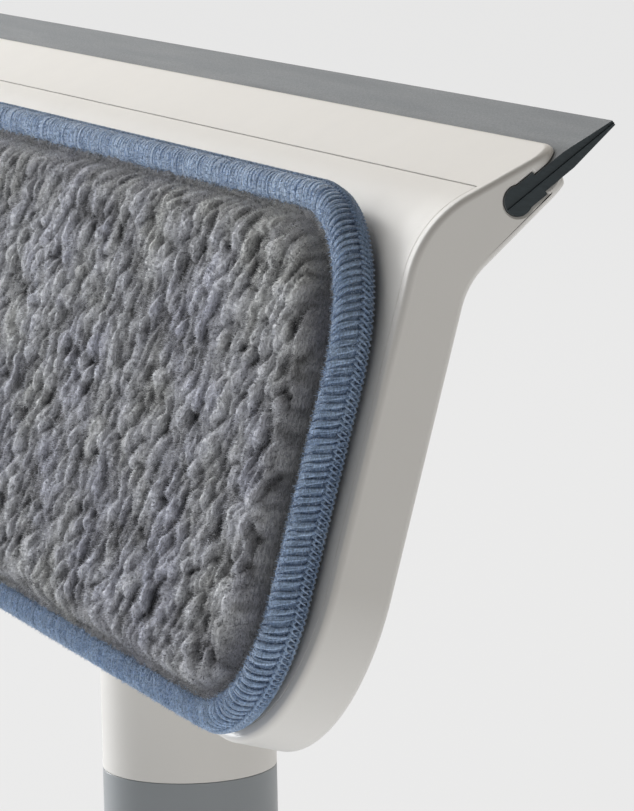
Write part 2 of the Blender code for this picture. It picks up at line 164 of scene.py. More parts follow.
# Neck and handle
NECK_BOTTOM = 22 * MM
NECK_BEND_START = 26 * MM
FOOT_CENTRE = 35 * MM
FOOT_HALF = (30 * MM, 17 * MM)
FOOT_POWER = 4
SPIGOT_RADIUS = 10 * MM
SPIGOT_LENGTH = 19 * MM
SLEEVE_THICKNESS = 2 * MM
CORE_BORE = 9 * MM
CORE_BORE_TOP = 8 * MM
CAP_LENGTH = 26 * MM
CAP_ROUND = 7 * MM
PLUG_LENGTH = 18 * MM
HANG_HOLE_HALF = (6 * MM, 3.5 * MM)
HANG_HOLE_CORNER = 2.5 * MM
HANG_HOLE_DROP = 12.5 * MM
SHANK_RADIUS = 1.5 * MM
SCREW_HEAD = (3.2 * MM, 1.8 * MM)
SCREW_LENGTH = 10 * MM
NECK_SCREW_SPREAD = (19 * MM, 9 * MM)
HANDLE_SCREW_HEIGHT = 34 * MM
HANDLE_SCREW_FACE = 14.4 * MM
JOINT_LINE = 0.06 * MM
SMALL_ROUND = 0.25 * MM
CAP_EDGE_ROUND = 0.7 * MM
CROWN_RISE = 0.45
SOCKET_RADIUS = 1.35 * MM
SOCKET_DEPTH = 1.2 * MM
PAST = 1 * MM

# Edges that count as sharp, and the fineness of round shapes
SHARP = radians(50)
WELD = 0.002 * MM
CORNER_STEPS = 32
BEND_STEPS = 24
BULB_STEPS = 32
TURN_STEPS = 96
NECK_STATIONS = 30

# Camera: a long lens looking along the head from its right end
AIM = Vector((0.15, 24.79, 130.54)) * MM
VIEW_AZIMUTH = radians(68.755)
VIEW_ELEVATION = radians(8.829)
VIEW_ROLL = radians(-1.175)
VIEW_DISTANCE = 746 * MM
FOCAL_LENGTH = 192.2
WORLD_COLOUR = (1.0, 0.93, 0.84, 1)
WORLD_BRIGHT_SIDE = (-0.88, 0.42, 0.2)
WORLD_BRIGHT = 1.05
WORLD_DIM = 0.06
FLOOR_HALF = 30
FLOOR_GLOW = 0.78
LIGHT_AIM = Vector((0, 0, 0.13))
LIGHTS = {
    "key": ((-1.5, -0.7, 1.5), 1.6, 27, (0.97, 0.985, 1.0)),
    "side": ((-1.9, -1.0, 0.3), 0.9, 36, (0.985, 0.99, 1.0)),
    "fill": ((1.5, 0.3, 0.35), 1.0, 1.4, (1.0, 0.88, 0.72)),
}


# ---- meshes

def linked(name, data):
    obj = bpy.data.objects.new(name, data)
    bpy.context.collection.objects.link(obj)
    return obj


def mesh_object(name, verts, faces):
    """Object from an array of points, in any shape whose last axis is x, y, z, and a list of faces."""
    mesh = bpy.data.meshes.new(name)
    mesh.from_pydata(np.asarray(verts).reshape(-1, 3).tolist(), [], faces)
    mesh.update()
    return linked(name, mesh)


def solid(name, bm):
    """Turn a bmesh into an object with outward faces."""
    bmesh.ops.remove_doubles(bm, verts=bm.verts, dist=WELD)
    bmesh.ops.recalc_face_normals(bm, faces=bm.faces)
    if bm.calc_volume(signed=True) < 0:
        bmesh.ops.reverse_faces(bm, faces=bm.faces)
    mesh = bpy.data.meshes.new(name)
    bm.to_mesh(mesh)
    bm.free()
    return linked(name, mesh)


def paint(obj, name, values):
    """Store one number per vertex for the materials to read."""
    obj.data.attributes.new(name, "FLOAT", "POINT").data.foreach_set("value", values)


def ring_quads(index):
    """Faces between the rings of closed loops; the last two axes go round the loop and round its section."""
    ahead = np.roll(index, -1, axis=-2)
    corners = (index, np.roll(index, -1, axis=-1), np.roll(ahead, -1, axis=-1), ahead)
    return np.stack(corners, -1).reshape(-1, 4).tolist()


def bake_modifiers(obj):
    """Replace an object's mesh by what its modifiers make of it."""
    bpy.context.view_layer.update()
    graph = bpy.context.evaluated_depsgraph_get()
    result = bpy.data.meshes.new_from_object(obj.evaluated_get(graph))
    obj.modifiers.clear()
    obj.data = result


def combine(obj, tool, operation):
    """Cut with another solid or keep what is inside it; the tool is used up."""
    step = obj.modifiers.new("cut", "BOOLEAN")
    step.operation = operation
    step.solver = "EXACT"
    step.object = tool
    bake_modifiers(obj)
    bpy.data.objects.remove(tool)


def cut(obj, bm):
    combine(obj, solid("tool", bm), "DIFFERENCE")


def keep(obj, bm):
    combine(obj, solid("tool", bm), "INTERSECT")


def round_edges(obj, width, segments, angle):
    step = obj.modifiers.new("edge_round", "BEVEL")
    step.width = width
    step.segments = segments
    step.limit_method = "ANGLE"
    step.angle_limit = angle
    step.use_clamp_overlap = False
    bake_modifiers(obj)


def sharp_edges(bm, angle):
    return [edge for edge in bm.edges if edge.is_manifold and edge.calc_face_angle(0) > angle]


def edge_lines(obj, angle):
    """Both ends of every edge sharper than an angle, as an array."""
    bm = bmesh.new()
    bm.from_mesh(obj.data)
    lines = [[tuple(vert.co) for vert in edge.verts] for edge in sharp_edges(bm, angle)]
    bm.free()
    return np.array(lines)


def round_along(obj, lines, radius, steps, angle):
    """Round the sharp edges that lie on the given lines, and leave every other edge as it is."""
    bm = bmesh.new()
    bm.from_mesh(obj.data)
    start = lines[:, 0]
    span = lines[:, 1] - start
    reach = (span ** 2).sum(1)
    chosen = []
    for edge in sharp_edges(bm, angle):
        middle = np.array((edge.verts[0].co + edge.verts[1].co) / 2)
        t = np.clip(((middle - start) * span).sum(1) / reach, 0, 1)
        if np.linalg.norm(start + span * t[:, None] - middle, axis=1).min() < 0.01 * MM:
            chosen.append(edge)
    bmesh.ops.bevel(bm, geom=chosen, offset=radius, segments=steps, profile=0.5, affect="EDGES",
                    clamp_overlap=False)
    bm.to_mesh(obj.data)
    bm.free()


def hard_surface(obj):
    """Shade rounded edges smoothly and keep the flats between them flat."""
    obj.data.shade_smooth()
    obj.data.set_sharp_from_angle(angle=radians(35))
    step = obj.modifiers.new("weighted_normals", "WEIGHTED_NORMAL")
    step.keep_sharp = True
    bake_modifiers(obj)


def arc(centre, radius, start, end, steps):
    """Points on an arc with both its ends; angles are in radians."""
    angles = [start + (end - start) * i / steps for i in range(steps + 1)]
    return [Vector((centre[0] + radius * cos(a), centre[1] + radius * sin(a))) for a in angles]


def rounded_rectangle(half_width, bottom, top, lower_radius, upper_radius, steps=CORNER_STEPS):
    """Front-view outline, symmetric about X = 0."""
    lower = half_width - lower_radius
    upper = half_width - upper_radius
    low = bottom + lower_radius
    high = top - upper_radius
    outline = arc((lower, low), lower_radius, -pi / 2, 0, steps)
    outline += arc((upper, high), upper_radius, 0, pi / 2, steps)
    outline += arc((-upper, high), upper_radius, pi / 2, pi, steps)
    outline += arc((-lower, low), lower_radius, pi, 3 * pi / 2, steps)
    return outline


def along_x(point, distance):
    return (distance, point[0], point[1])


def along_y(point, distance):
    return (point[0], distance, point[1])


def across_blade(point, distance):
    return (point[0], *from_blade(-point[1], distance))


def skin(bm, rings):
    """Join rings of equal length in order, and close both ends."""
    count = len(rings[0])
    for lower, upper in zip(rings, rings[1:]):
        for i in range(count):
            j = (i + 1) % count
            bm.faces.new((lower[i], lower[j], upper[j], upper[i]))
    bm.faces.new(rings[0])
    bm.faces.new(rings[-1])
    return bm


def loft(outlines, place, distances):
    """Closed solid through outlines of equal length, each at its own distance."""
    bm = bmesh.new()
    return skin(bm, [[bm.verts.new(place(p, at)) for p in line] for line, at in zip(outlines, distances)])


def prism(outline, place, low, high):
    return loft((outline, outline), place, (low, high))


def turned(profile, steps=TURN_STEPS):
    """Turn a closed (radius, height) profile about Z; points on the axis become poles."""
    bm = bmesh.new()
    columns = []
    for k in range(steps):
        turn = 2 * pi * k / steps
        columns.append([bm.verts.new((r * cos(turn), r * sin(turn), z)) for r, z in profile])
    count = len(profile)
    for k in range(steps):
        here = columns[k]
        after = columns[(k + 1) % steps]
        for i in range(count):
            j = (i + 1) % count
            if profile[i][0] > 0 or profile[j][0] > 0:
                bm.faces.new((here[i], after[i], after[j], here[j]))
    bmesh.ops.remove_doubles(bm, verts=bm.verts, dist=WELD)
    return bm


def turn_to(direction):
    """Turn that brings +Z to a direction."""
    return Vector((0, 0, 1)).rotation_difference(Vector(direction)).to_matrix().to_4x4()


def rod(radius, start, direction, length, sides=48):
    """Plain round bar from a start point, for cutting holes."""
    bm = bmesh.new()
    bmesh.ops.create_cone(bm, cap_ends=True, segments=sides, radius1=radius, radius2=radius, depth=length)
    aim = Vector(direction).normalized()
    bm.transform(Matrix.Translation(Vector(start) + aim * length / 2) @ turn_to(aim))
    return bm


def rounded(profile, radius, steps=4):
    """Round every corner of a (radius, height) profile that isn't on the axis."""
    result = []
    count = len(profile)
    for i, point in enumerate(profile):
        here = Vector(point)
        before = Vector(profile[i - 1]) - here
        after = Vector(profile[(i + 1) % count]) - here
        if here.x <= 0:
            result.append(tuple(here))
            continue
        reach = min(radius, before.length * 0.45, after.length * 0.45)
        start = here + before.normalized() * reach
        end = here + after.normalized() * reach
        for k in range(steps + 1):
            t = k / steps
            result.append(tuple(start * (1 - t) ** 2 + here * 2 * t * (1 - t) + end * t ** 2))
    return result


# ---- materials

class Nodes:
    """Short calls for building one material's node tree."""

    def __init__(self, name):
        self.made = bpy.data.materials.new(name)
        self.made.use_nodes = True
        self.tree = self.made.node_tree
        self.shader = self.tree.nodes["Principled BSDF"]
        self.place = self.add("ShaderNodeTexCoord").outputs["Object"]

    def add(self, kind, **settings):
        node = self.tree.nodes.new(kind)
        for name, value in settings.items():
            setattr(node, name, value)
        return node

    def feed(self, socket, value):
        if isinstance(value, bpy.types.NodeSocket):
            self.tree.links.new(value, socket)
        elif isinstance(value, tuple) and len(value) == 3 and socket.type == "RGBA":
            socket.default_value = (*value, 1.0)
        else:
            socket.default_value = value

    def fill(self, node, **values):
        """Inputs by name, with underscores for spaces."""
        for name, value in values.items():
            self.feed(node.inputs[name.replace("_", " ")], value)

    def set(self, **values):
        self.fill(self.shader, **values)

    def stretch(self, scale, turn=(0, 0, 0), place=None):
        node = self.add("ShaderNodeMapping")
        self.fill(node, Vector=self.place if place is None else place, Scale=scale, Rotation=turn)
        return node.outputs["Vector"]

    def noise(self, size, detail=2.0, roughness=0.5, place=None, distortion=0.0):
        """Noise whose features are about size metres wide."""
        node = self.add("ShaderNodeTexNoise")
        self.fill(node, Vector=self.place if place is None else place, Scale=1 / size)
        self.fill(node, Detail=detail, Roughness=roughness, Distortion=distortion)
        return node.outputs["Fac"]

    def fit(self, value, low=0.3, high=0.7, to_low=0.0, to_high=1.0):
        """Stretch the span from low to high, by default the usual span of a noise, to another."""
        node = self.add("ShaderNodeMapRange")
        self.fill(node, Value=value, From_Min=low, From_Max=high, To_Min=to_low, To_Max=to_high)
        return node.outputs["Result"]

    def mix(self, factor, first, second, blend="MIX"):
        node = self.add("ShaderNodeMix", data_type="RGBA", blend_type=blend)
        colours = [socket for socket in node.inputs if socket.type == "RGBA"]
        self.feed(node.inputs["Factor"], factor)
        self.feed(colours[0], first)
        self.feed(colours[1], second)
        return [socket for socket in node.outputs if socket.type == "RGBA"][0]

    def attribute(self, name):
        return self.add("ShaderNodeAttribute", attribute_name=name).outputs["Fac"]

    def bump(self, height, distance, strength=1.0, under=None):
        node = self.add("ShaderNodeBump")
        self.fill(node, Height=height, Distance=distance, Strength=strength)
        if under is not None:
            self.feed(node.inputs["Normal"], under)
        return node.outputs["Normal"]


def moulded_plastic(name, colour, shade, roughness):
    """Matt moulded plastic: faint tone drift, rubbed patches and a fine eroded grain."""
    nodes = Nodes(name)
    tone = nodes.noise(40 * MM, 3)
    nodes.set(Base_Color=nodes.mix(nodes.fit(tone), colour, shade))
    rubbed = nodes.noise(6 * MM, 4, 0.6)
    nodes.set(Roughness=nodes.fit(rubbed, 0.3, 0.7, roughness - 0.05, roughness + 0.05))
    nodes.set(Specular_IOR_Level=0.45)
    grain = nodes.noise(0.22 * MM, 3, 0.6)
    flow = nodes.bump(nodes.noise(9 * MM, 1), 0.05 * MM, 0.6)
    nodes.set(Normal=nodes.bump(grain, 0.012 * MM, 1.0, flow))
    return nodes.made


def rubber_face_painted_sheen(name):
    """Grey rubber with a fine bright speckle and faint marks along its length; its face is paler than the
    cut ends, partly a dusty face and partly painted sheen.
    """
    nodes = Nodes(name)
    speckle = nodes.noise(0.3 * MM, 2, 0.7)
    streak = nodes.noise(2.2 * MM, 3, 0.6, nodes.stretch((0.06, 1, 1)))
    # partly painted sheen: these face colours are paler than the rubber of the cut ends, standing in for
    # sheen on the face seen at a grazing angle
    base = nodes.mix(nodes.fit(speckle, 0.35, 0.7), (0.17, 0.185, 0.20), (0.235, 0.255, 0.27))
    nodes.set(Base_Color=nodes.mix(nodes.fit(streak, 0.35, 0.75, 0.0, 0.35), base, (0.185, 0.20, 0.215)))
    nodes.set(Roughness=nodes.fit(streak, 0.3, 0.7, 0.62, 0.74))
    nodes.set(Specular_IOR_Level=0.4)
    nodes.set(Normal=nodes.bump(speckle, 0.02 * MM))
    return nodes.made


def pile_fleece(name):
    """Grey microfibre with a fibrous grain, and painted shade: a per-vertex value darkens it to near black
    between the tufts and leaves it pale at their tips.
    """
    nodes = Nodes(name)
    height = nodes.attribute("tuft_tone_and_painted_shade")
    lean = nodes.stretch((1, 1, 0.35), (0, radians(38), 0))
    fibre = nodes.noise(0.3 * MM, 3, 0.7, lean, 0.6)
    fleck = nodes.noise(0.16 * MM, 2, 0.6)
    drift = nodes.noise(20 * MM, 3, 0.6)
    # painted shade: deep is the near-black colour put down between the tufts, tip is the colour of the tuft
    # tips
    deep = nodes.mix(nodes.fit(drift, 0.35, 0.65), (0.018, 0.019, 0.027), (0.020, 0.022, 0.024))
    tip = nodes.mix(nodes.fit(drift, 0.35, 0.65), (0.80, 0.83, 0.96), (0.88, 0.90, 0.89))
    body = nodes.mix(nodes.fit(height, 0.18, 0.82), deep, tip)
    grain = nodes.mix(nodes.fit(fibre, 0.32, 0.68, 0.0, 1.0), (0.5, 0.5, 0.52), (1.3, 1.3, 1.3))
    body = nodes.mix(1.0, body, grain, "MULTIPLY")
    nodes.set(Base_Color=nodes.mix(nodes.fit(fleck, 0.62, 0.75, 0.0, 0.25), body, (0.5, 0.52, 0.55)))
    nodes.set(Roughness=0.95, Specular_IOR_Level=0.15, Sheen_Weight=0.45, Sheen_Roughness=0.5)
    fine = nodes.bump(fleck, 0.12 * MM, 0.8)
    nodes.set(Normal=nodes.bump(fibre, 0.32 * MM, 0.9, fine))
    return nodes.made


def yarn(name, pale, deep):
    """Spun polyester thread: plies run round each strand; a per-vertex value sets each strand's tone at
    random, and paints shade on the hem that shows between the threads.
    """
    nodes = Nodes(name)
    fibre = nodes.noise(0.26 * MM, 3, 0.75, nodes.stretch((1, 1, 0.5)))
    drift = nodes.noise(5 * MM, 2)
    tone = nodes.mix(nodes.fit(drift), pale, deep)
    strand = nodes.attribute("shade")
    tone = nodes.mix(1.0, tone, nodes.mix(strand, (0.62, 0.64, 0.68), (1.12, 1.12, 1.12)), "MULTIPLY")
    grain = nodes.mix(nodes.fit(fibre), (0.45, 0.47, 0.5), (1.55, 1.5, 1.45))
    nodes.set(Base_Color=nodes.mix(1.0, tone, grain, "MULTIPLY"))
    nodes.set(Roughness=0.8, Specular_IOR_Level=0.3, Sheen_Weight=0.6, Sheen_Roughness=0.4)
    nodes.set(Normal=nodes.bump(fibre, 0.1 * MM, 0.9))
    return nodes.made


def mottled(name, grain, deep, pale, rough, bump=None, stretch=None, **shader):
    """Finish whose tone, gloss and relief follow one noise; grain is its size, detail and roughness."""
    nodes = Nodes(name)
    place = None if stretch is None else nodes.stretch(*stretch)
    marks = nodes.noise(*grain, place)
    nodes.set(Base_Color=nodes.mix(nodes.fit(marks), deep, pale))
    nodes.set(Roughness=nodes.fit(marks, to_low=rough[0], to_high=rough[1]), **shader)
    if bump is not None:
        nodes.set(Normal=nodes.bump(marks, bump))
    return nodes.made


def make_materials():
    """The finishes by their slot in the record; the rubber also has one for its cut ends."""
    return {
        "white_plastic": moulded_plastic("white_plastic", (0.80, 0.79, 0.765), (0.775, 0.765, 0.74), 0.42),
        "grey_plastic": moulded_plastic("grey_plastic", (0.30, 0.325, 0.345), (0.275, 0.30, 0.32), 0.38),
        "blade_rubber": rubber_face_painted_sheen("blade_rubber"),
        "blade_cut": mottled("blade_cut", (0.5 * MM, 3, 0.6), (0.034, 0.046, 0.053), (0.052, 0.068, 0.077),
                             (0.42, 0.55), 0.03 * MM, ((1, 0.25, 1), (BLADE_ANGLE, 0, 0)),
                             Specular_IOR_Level=0.25),
        "blue_yarn": yarn("blue_yarn", (0.42, 0.56, 0.76), (0.31, 0.44, 0.65)),
        "grey_pile": pile_fleece("grey_pile"),
        "pad_core": mottled("pad_core", (0.5 * MM, 3, 0.7), (0.46, 0.46, 0.44), (0.72, 0.72, 0.69),
                            (0.95, 0.95), 0.25 * MM, Specular_IOR_Level=0.2, Sheen_Weight=0.2),
        "hook_tape": mottled("hook_tape", (3 * MM, 3, 0.5), (0.56, 0.56, 0.54), (0.66, 0.66, 0.64),
                             (0.45, 0.6)),
        "steel": mottled("steel", (0.4 * MM, 2, 0.6), (0.52, 0.52, 0.53), (0.68, 0.68, 0.69),
                         (0.25, 0.38), 0.01 * MM, Metallic=1.0),
    }


FINISH = make_materials()


def complete_hard(obj, slot, node, in_head=False):
    """Shade and complete a rigid piece of the squeegee itself."""
    hard_surface(obj)
    complete(obj, slot, "squeegee", node, in_head=in_head)


def complete(obj, slot, body, *replaced, in_head=True, extra=()):
    """Give a piece its place, finish, body and the CAD nodes that it stands for."""
    for name in (slot, *extra):
        obj.data.materials.append(FINISH[name])
    if in_head:
        obj.matrix_world = HEAD
    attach(obj, body)
    if replaced:
        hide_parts(*replaced)
    return obj


# ---- head

def from_blade(along, across):
    """Head-frame (y, z) of a point measured back from the wiping edge and across the blade."""
    direction = Vector((cos(BLADE_ANGLE), sin(BLADE_ANGLE)))
    normal = Vector((-sin(BLADE_ANGLE), cos(BLADE_ANGLE)))
    return BLADE_EDGE - direction * along + normal * across


def blade_side(grow):
    """(along, half-width) from the back of the web over the shoulder and round to the bulb's far end."""
    bulb = BULB_RADIUS + grow
    meeting = pi - asin((SHOULDER_HALF + grow) / bulb)
    quarter = arc((BULB_CENTRE, 0), bulb, meeting, 0, BULB_STEPS // 2)
    shoulder = SHOULDER_START - grow
    return [(shoulder, WEB_HALF + grow), (shoulder, SHOULDER_HALF + grow)] + [tuple(p) for p in quarter]


def blade_section(front, grow):
    """Closed outline from the front corners back over the shoulder and round the bulb."""
    side = front + blade_side(grow)[:-1]
    tail = [(BULB_CENTRE + BULB_RADIUS + grow, 0)]
    section = side + tail + [(along, -across) for along, across in reversed(side)]
    return [from_blade(along, across) for along, across in section]


def lip_end(lip, side):
    """Square end of one channel lip in section, from the blade's side outwards; bevelled later."""
    end, radius = lip
    flank = WEB_HALF + GAP / 2
    return [from_blade(end - radius, side * flank), from_blade(end - radius, side * (flank + radius))]


def face_curve(depth, top):
    """Section of the face at a depth below its surface, round the bend and up the lip to a height."""
    centre = Vector((FACE_BEND_RADIUS, FACE_BEND_START))
    bend = arc(centre, FACE_BEND_RADIUS - depth, pi, pi - FACE_BEND_ANGLE, BEND_STEPS)
    slope = Vector((sin(FACE_BEND_ANGLE), cos(FACE_BEND_ANGLE)))
    inward = Vector((cos(FACE_BEND_ANGLE), -sin(FACE_BEND_ANGLE)))
    surface_end = centre - inward * FACE_BEND_RADIUS
    climb = (top - surface_end.y) / slope.y
    return bend + [surface_end + slope * climb + inward * depth]


def panel_section(front_depth, back_depth, bottom, top):
    """Outline between two depths below the face."""
    front = [Vector((front_depth, bottom))] + face_curve(front_depth, top)
    back = [Vector((back_depth, bottom))] + face_curve(back_depth, top)
    return front + list(reversed(back))


def panel_outline(inset):
    """Front view of a shape set in from the head's outline by the same amount all round."""
    return rounded_rectangle(HALF_HEAD - inset, inset, HALF_HEAD, HEAD_CORNER - inset, GAP)


def housing_section():
    """Section of the closed head, from the face's foot round by the rear and the lips to the face."""
    rear_centre = (HEAD_DEPTH + REAR_BEND_RADIUS, REAR_BEND_START)
    section = [Vector((0, 0)), Vector((HEAD_DEPTH, 0))]
    section += arc(rear_centre, REAR_BEND_RADIUS, pi, pi - REAR_BEND_ANGLE, BEND_STEPS)
    section += list(reversed(lip_end(LOWER_LIP, -1))) + lip_end(UPPER_LIP, 1)
    bend = arc((FACE_BEND_RADIUS, FACE_BEND_START), FACE_BEND_RADIUS, pi, pi - FACE_BEND_ANGLE, BEND_STEPS)
    return section + list(reversed(bend))


def cut_channel(housing):
    """The blade's channel, flared a little where it comes out at the end walls."""
    front = [(WEB_START / 2, WEB_HALF + GAP)]
    tight = blade_section(front, CHANNEL_SLACK)
    mouth = [(WEB_START / 2, WEB_HALF + GAP + CHANNEL_FLARE)]
    wide = blade_section(mouth, CHANNEL_SLACK + CHANNEL_FLARE)
    inner = HALF_HEAD - CHANNEL_FLARE
    places = (-HALF_HEAD * 1.1, -HALF_HEAD, -inner, inner, HALF_HEAD, HALF_HEAD * 1.1)
    channel = loft((wide, wide, tight, tight, wide, wide), along_x, places)
    cut(housing, channel)


def make_housing():
    """White frame: end walls, rear wall, rim round the panel, and the two lips of the blade's channel."""
    housing = solid("housing_shell", prism(housing_section(), along_x, -HALF_HEAD, HALF_HEAD))
    front_view = rounded_rectangle(HALF_HEAD, 0, HALF_HEAD, HEAD_CORNER, LIP_CORNER)
    keep(housing, prism(front_view, along_y, -HALF_HEAD, HALF_HEAD))
    front = UPPER_LIP[0] - UPPER_LIP[1] + 0.02 * MM
    lip_view = rounded_rectangle(HALF_HEAD, -HALF_HEAD, -front, LIP_CORNER, LIP_CORNER, 12)
    keep(housing, prism(lip_view, across_blade, -HALF_HEAD, HALF_HEAD))
    outer_edges = edge_lines(housing, SHARP)
    cut_channel(housing)
    rebate = panel_section(-WALL, PANEL_THICKNESS + GAP, -WALL, PANEL_TOP + SEAM / 2)
    seat = solid("seat", prism(rebate, along_x, -HALF_HEAD, HALF_HEAD))
    keep(seat, prism(panel_outline(PANEL_INSET - SEAM / 2), along_y, -HALF_HEAD, HALF_HEAD))
    combine(housing, seat, "DIFFERENCE")
    inset = PANEL_INSET + LEDGE
    cavity = rounded_rectangle(HALF_HEAD - inset, inset, CAVITY_TOP, HEAD_CORNER - inset, CAVITY_CORNER)
    cut(housing, prism(cavity, along_y, PANEL_THICKNESS, HEAD_DEPTH - WALL))
    for x, z in neck_screw_places():
        hole = rod(SHANK_RADIUS + GAP, (x, HEAD_DEPTH - 2 * WALL, z), (0, 1, 0), 3 * WALL)
        cut(housing, hole)
    round_along(housing, outer_edges, EDGE_ROUND, 5, SHARP)
    complete_hard(housing, "white_plastic", "head_housing", True)


def make_front_panel():
    """White cover let into the front of the housing, flush with its rim, with seats for the hook tapes."""
    section = panel_section(0, PANEL_THICKNESS, 0, PANEL_TOP - SEAM / 2)
    panel = solid("front_cover", prism(section, along_x, -HALF_HEAD, HALF_HEAD))
    view = panel_outline(PANEL_INSET + SEAM / 2)
    keep(panel, prism(view, along_y, -HALF_HEAD, HALF_HEAD))
    round_edges(panel, SEAM_ROUND, 2, SHARP)
    for height in TAPE_HEIGHTS.values():
        cut(panel, prism(tape_outline(height, GAP), along_y, -WALL, TAPE_PROUD + GAP))
    complete_hard(panel, "white_plastic", "front_panel", True)


def tape_outline(height, grow):
    half_width, half_height = TAPE_HALF
    corner = TAPE_CORNER + grow
    low = height - half_height - grow
    high = height + half_height + grow
    return rounded_rectangle(half_width + grow, low, high, corner, corner, 6)


def make_blade():
    """Soft wiping strip; its cut ends are darker, with a fine raised line along the middle."""
    side = [(0, EDGE_HALF), (WEB_START, WEB_HALF)] + blade_side(0)
    ridge_half, ridge_proud = CUT_RIDGE
    bm = bmesh.new()
    rows = []
    for end in (-1, 1):
        columns = []
        for along, across in side:
            inner = min(across, ridge_half)
            places = ((across, 0), (inner, 0), (0, ridge_proud), (-inner, 0), (-across, 0))
            spots = [(end * (HALF_HEAD + proud), *from_blade(along, w)) for w, proud in places]
            columns.append([bm.verts.new(spot) for spot in spots])
        rows.append(columns)
    for columns in rows:
        for here, after in zip(columns, columns[1:]):
            for k in range(4):
                face = bm.faces.new((here[k], here[k + 1], after[k + 1], after[k]))
                face.material_index = 1
    left, right = rows
    for edge in (0, 4):
        for i in range(len(side) - 1):
            bm.faces.new((left[i][edge], left[i + 1][edge], right[i + 1][edge], right[i][edge]))
    for k in range(4):
        bm.faces.new((left[0][k], left[0][k + 1], right[0][k + 1], right[0][k]))
    bmesh.ops.remove_doubles(bm, verts=bm.verts, dist=WELD)
    bmesh.ops.recalc_face_normals(bm, faces=bm.faces)
    blade = solid("wiping_blade", bm)
    blade.data.shade_smooth()
    blade.data.set_sharp_from_angle(angle=radians(30))
    complete(blade, "blade_rubber", "blade", "rubber_blade", extra=("blade_cut",))


# ---- pad

def value_noise(x, z, size, seed):
    """Smooth random field from -1 to 1 whose features are about size metres wide."""
    table = np.random.default_rng(seed).uniform(-1, 1, (256, 256))
    u = x / size + 64.3
    v = z / size + 64.7
    i = np.floor(u).astype(int)
    j = np.floor(v).astype(int)
    fu = u - i
    fv = v - j
    fu = fu * fu * (3 - 2 * fu)
    fv = fv * fv * (3 - 2 * fv)
    corner = [[table[(i + a) % 256, (j + b) % 256] for b in (0, 1)] for a in (0, 1)]
    low = corner[0][0] * (1 - fu) + corner[1][0] * fu
    high = corner[0][1] * (1 - fu) + corner[1][1] * fu
    return low * (1 - fv) + high * fv


def tuft_field(x, z, size, seed):
    """Rounded lumps on a jittered lattice: height of the tallest lump at each point, from 0 to about 1."""
    rng = np.random.default_rng(seed)
    jitter = rng.uniform(0.16, 0.84, (256, 256, 2))
    rise = rng.uniform(0.45, 1.0, (256, 256))
    width = rng.uniform(0.62, 0.95, (256, 256))
    u = x / size + 64
    v = z / size + 64
    i = np.floor(u).astype(int)
    j = np.floor(v).astype(int)
    best = np.zeros_like(u)
    for a in (-1, 0, 1):
        for b in (-1, 0, 1):
            p = (i + a) % 256
            q = (j + b) % 256
            du = u - (i + a + jitter[p, q, 0])
            dv = v - (j + b + jitter[p, q, 1])
            near = np.clip(1 - (du * du + dv * dv) / width[p, q] ** 2, 0, 1)
            best = np.maximum(best, rise[p, q] * np.sqrt(near))
    return best


def pad_box(inset):
    """Half-width, bottom, top and corner radii of the pad's outline, set in by the same amount all round."""
    corners = (PAD_LOWER_CORNER - inset, PAD_UPPER_CORNER - inset)
    return PAD_HALF - inset, PAD_BOTTOM + inset, PAD_TOP - inset, *corners


def rows_of(bottom, top, lower_radius, upper_radius):
    """Heights for a grid whose side follows rounded corners: finer towards the flat ends of the corners."""
    rises = [1 - cos(radians(turn)) for turn in ROW_TURNS]
    lower = [bottom + lower_radius * rise for rise in rises]
    upper = [top - upper_radius * rise for rise in reversed(rises)]
    first = lower[-1]
    last = upper[0]
    count = max(2, round((last - first) / PILE_SPACING))
    middle = [first + (last - first) * k / count for k in range(1, count)]
    return np.array(lower + middle + upper)


def half_width_at(z, half, bottom, top, lower_radius, upper_radius):
    low = np.clip(bottom + lower_radius - z, 0, lower_radius)
    high = np.clip(z - (top - upper_radius), 0, upper_radius)
    cut = (lower_radius - np.sqrt(lower_radius ** 2 - low ** 2)) * (low > 0)
    cut = cut + (upper_radius - np.sqrt(upper_radius ** 2 - high ** 2)) * (high > 0)
    return half - cut


def inset_distance(x, z, half, bottom, top, lower_radius, upper_radius):
    """How far a point lies inside a rounded rectangle with its own lower and upper corner radii."""
    radius = np.where(z < (bottom + top) / 2, lower_radius, upper_radius)
    middle = (bottom + top) / 2
    qx = np.abs(x) - (half - radius)
    qz = np.abs(z - middle) - ((top - bottom) / 2 - radius)
    outside = np.hypot(np.maximum(qx, 0), np.maximum(qz, 0))
    return radius - outside - np.minimum(np.maximum(qx, qz), 0)


def pile_relief(x, z):
    """Tuft height from about 0, deep between tufts, to 1 at the tips."""
    warp_x = 1.2 * MM * value_noise(x, z, 6 * MM, 11) + 0.5 * MM * value_noise(x, z, 2 * MM, 12)
    warp_z = 1.3 * MM * value_noise(x, z, 5 * MM, 13) + 0.6 * MM * value_noise(x, z, 2 * MM, 14)
    wx = x + warp_x
    wz = z + warp_z
    along = wx * cos(PILE_COMB) + wz * sin(PILE_COMB)
    across = wz * cos(PILE_COMB) - wx * sin(PILE_COMB)
    lumps = tuft_field(along / 1.8, across, TUFT, 21)
    small = tuft_field(along / 1.6, across, SMALL_TUFT, 22)
    slow = 0.5 + 0.5 * value_noise(x, z, 7 * MM, 23)
    fine = 0.5 + 0.5 * value_noise(along, across, 0.6 * MM, 24)
    return np.clip(0.84 * lumps ** 1.8 + 0.28 * small + 0.14 * slow + 0.08 * fine - 0.16, 0, 1.1)


